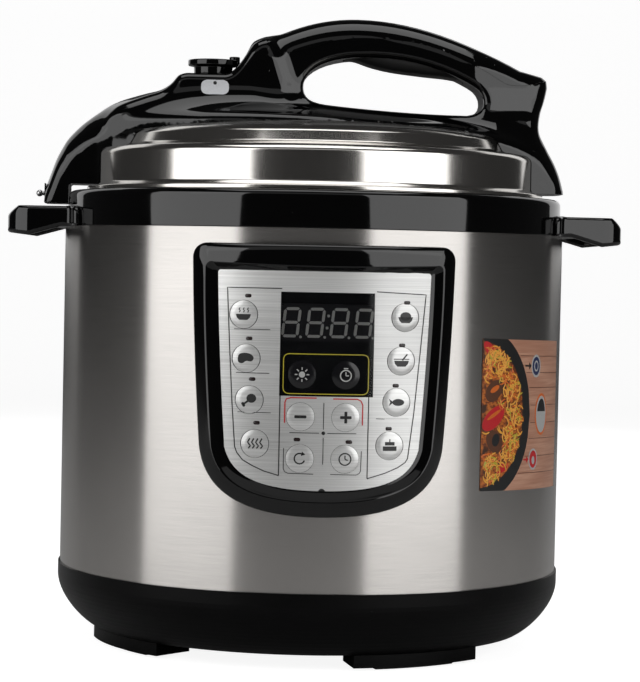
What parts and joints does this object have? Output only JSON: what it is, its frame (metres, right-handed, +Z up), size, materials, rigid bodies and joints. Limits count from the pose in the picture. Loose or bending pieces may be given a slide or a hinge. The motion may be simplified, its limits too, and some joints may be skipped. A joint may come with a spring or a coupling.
{
  "type": "electric pressure cooker",
  "caption": "Electric pressure cooker: brushed steel body, gloss black ring, ears and panel frame, and a bayonet steel lid under a bridge handle with a steam valve.",
  "frame": {"origin": "on the worktop, on the axis of the round body, at the centre of the four feet", "axes": "+Z up, the control panel faces -Y, the carrying ears point along -X and +X"},
  "size_m": [0.344, 0.3122, 0.3516],
  "materials": {
    "satin_black_plastic": "satin",
    "gloss_black_plastic": "gloss",
    "grip_plastic": "fine satin",
    "brushed_steel": "brushed around",
    "polished_steel": "mirror polished",
    "plain_steel": "plain",
    "aluminium": "cast and plain",
    "rubber": "matt",
    "silicone": "translucent satin",
    "film": "brushed metal look, printed",
    "dark_window": "smoked",
    "display_body": "matt",
    "circuit_board": "solder mask",
    "components": "mixed",
    "light_lens": "smoked red",
    "sticker": "printed and varnished",
    "clear_plastic": "clear",
    "white_insulation": "glass fibre sleeve"
  },
  "bodies": {
    "root": {"base_shell": "satin_black_plastic", "bottom_cover": "satin_black_plastic", "rubber_feet": "rubber", "body_screws": "plain_steel", "body_sleeve": "brushed_steel", "top_ring": "gloss_black_plastic", "side_handle_left": "gloss_black_plastic", "side_handle_right": "gloss_black_plastic", "outer_pot": "plain_steel", "heat_shield": "aluminium", "heating_plate": "aluminium", "sensor_spring": "plain_steel", "pressure_switch": "plain_steel", "power_board": "circuit_board", "power_board_parts": "components", "thermal_fuse": "white_insulation", "inlet_socket": "satin_black_plastic", "inlet_pins": "plain_steel", "panel_frame": "gloss_black_plastic", "panel_overlay": "film", "display_window": "dark_window", "display_module": "display_body", "control_board": "circuit_board", "tact_switches": "components", "indicator_lights": "light_lens", "body_sticker": "sticker", "cup_bracket": "satin_black_plastic"},
    "sensor": {"temperature_sensor": "aluminium"},
    "cup": {"condensate_cup": "clear_plastic"},
    "pot": {"inner_pot": "polished_steel"},
    "seal": {"sealing_ring": "silicone"},
    "lid": {"gasket_rack": "plain_steel", "lid_dome": "polished_steel", "lid_lug_plate": "plain_steel", "lid_cover": "gloss_black_plastic", "lid_handle_shell": "gloss_black_plastic", "lid_handle_insert": "grip_plastic", "vent_pipe": "plain_steel", "vent_filter_cap": "plain_steel", "lid_end_plate": "satin_black_plastic", "push_rod_spring": "plain_steel", "lid_screws": "plain_steel"},
    "rod": {"push_rod": "plain_steel"},
    "knob": {"valve_knob": "gloss_black_plastic"},
    "weight": {"valve_weight": "plain_steel"},
    "float_pin": {"float_valve": "aluminium"},
    "key_soup": {"button_soup": "film"},
    "key_meat": {"button_meat": "film"},
    "key_chicken": {"button_chicken": "film"},
    "key_steam": {"button_steam": "film"},
    "key_rice": {"button_rice": "film"},
    "key_porridge": {"button_porridge": "film"},
    "key_fish": {"button_fish": "film"},
    "key_cake": {"button_cake": "film"},
    "key_reheat": {"button_reheat": "film"},
    "key_slow_cook": {"button_slow_cook": "film"},
    "key_minus": {"button_minus": "film"},
    "key_plus": {"button_plus": "film"},
    "key_keep_warm": {"button_keep_warm": "display_body"},
    "key_delay": {"button_delay": "display_body"}
  },
  "joints": [
    {"name": "sensor_press", "type": "slide", "parent": "root", "child": "sensor", "axis": [0, 0, 1], "range_m": [-0.003, 0], "stiffness_N_per_m": 800, "springref_m": 0.002, "deforming": ["sensor_spring"]},
    {"name": "cup_lift", "type": "slide", "parent": "root", "child": "cup", "axis": [0, 0, 1], "range_m": [0, 0.025]},
    {"name": "pot_lift", "type": "slide", "parent": "root", "child": "pot", "axis": [0, 0, 1], "range_m": [0, 0.18]},
    {"name": "lid_lift", "type": "slide", "parent": "pot", "child": "seal", "axis": [0, 0, 1], "range_m": [0, 0.15]},
    {"name": "lid_turn", "type": "hinge", "parent": "seal", "child": "lid", "pos_m": [0, 0, 0.25], "axis": [0, 0, 1], "range_deg": [-22, 0]},
    {"name": "valve_turn", "type": "hinge", "parent": "lid", "child": "knob", "pos_m": [-0.0595, 0, 0.32], "axis": [0, 0, 1], "range_deg": [-60, 0]},
    {"name": "weight_rise", "type": "slide", "parent": "lid", "child": "weight", "axis": [0, 0, 1], "range_m": [0, 0.002]},
    {"name": "float_rise", "type": "slide", "parent": "lid", "child": "float_pin", "axis": [0, 0, 1], "range_m": [0, 0.005]},
    {"name": "rod_push", "type": "slide", "parent": "lid", "child": "rod", "axis": [1, 0, 0], "range_m": [0, 0.001], "stiffness_N_per_m": 300, "springref_m": -0.001, "deforming": ["push_rod_spring"]},
    {"name": "press_soup", "type": "slide", "parent": "root", "child": "key_soup", "axis": [0.287, 0.9579, 0], "range_m": [0, 0.0004], "stiffness_N_per_m": 900, "springref_m": -0.0006},
    {"name": "press_meat", "type": "slide", "parent": "root", "child": "key_meat", "axis": [0.2752, 0.9614, 0], "range_m": [0, 0.0004], "stiffness_N_per_m": 900, "springref_m": -0.0006},
    {"name": "press_chicken", "type": "slide", "parent": "root", "child": "key_chicken", "axis": [0.2614, 0.9652, 0], "range_m": [0, 0.0004], "stiffness_N_per_m": 900, "springref_m": -0.0006},
    {"name": "press_steam", "type": "slide", "parent": "root", "child": "key_steam", "axis": [0.2393, 0.971, 0], "range_m": [0, 0.0004], "stiffness_N_per_m": 900, "springref_m": -0.0006},
    {"name": "press_rice", "type": "slide", "parent": "root", "child": "key_rice", "axis": [-0.287, 0.9579, 0], "range_m": [0, 0.0004], "stiffness_N_per_m": 900, "springref_m": -0.0006},
    {"name": "press_porridge", "type": "slide", "parent": "root", "child": "key_porridge", "axis": [-0.2752, 0.9614, 0], "range_m": [0, 0.0004], "stiffness_N_per_m": 900, "springref_m": -0.0006},
    {"name": "press_fish", "type": "slide", "parent": "root", "child": "key_fish", "axis": [-0.2614, 0.9652, 0], "range_m": [0, 0.0004], "stiffness_N_per_m": 900, "springref_m": -0.0006},
    {"name": "press_cake", "type": "slide", "parent": "root", "child": "key_cake", "axis": [-0.2393, 0.971, 0], "range_m": [0, 0.0004], "stiffness_N_per_m": 900, "springref_m": -0.0006},
    {"name": "press_reheat", "type": "slide", "parent": "root", "child": "key_reheat", "axis": [0.0802, 0.9968, 0], "range_m": [0, 0.0004], "stiffness_N_per_m": 900, "springref_m": -0.0006},
    {"name": "press_slow_cook", "type": "slide", "parent": "root", "child": "key_slow_cook", "axis": [-0.0802, 0.9968, 0], "range_m": [0, 0.0004], "stiffness_N_per_m": 900, "springref_m": -0.0006},
    {"name": "press_minus", "type": "slide", "parent": "root", "child": "key_minus", "axis": [0.0802, 0.9968, 0], "range_m": [0, 0.0004], "stiffness_N_per_m": 900, "springref_m": -0.0006},
    {"name": "press_plus", "type": "slide", "parent": "root", "child": "key_plus", "axis": [-0.0802, 0.9968, 0], "range_m": [0, 0.0004], "stiffness_N_per_m": 900, "springref_m": -0.0006},
    {"name": "press_keep_warm", "type": "slide", "parent": "root", "child": "key_keep_warm", "axis": [0.0775, 0.997, 0], "range_m": [0, 0.0004], "stiffness_N_per_m": 900, "springref_m": -0.0006},
    {"name": "press_delay", "type": "slide", "parent": "root", "child": "key_delay", "axis": [-0.0775, 0.997, 0], "range_m": [0, 0.0004], "stiffness_N_per_m": 900, "springref_m": -0.0006}
  ],
  "couplings": [
    {"joint": "valve_turn", "follows": "weight_rise", "rad_per_m": -523.59}
  ]
}
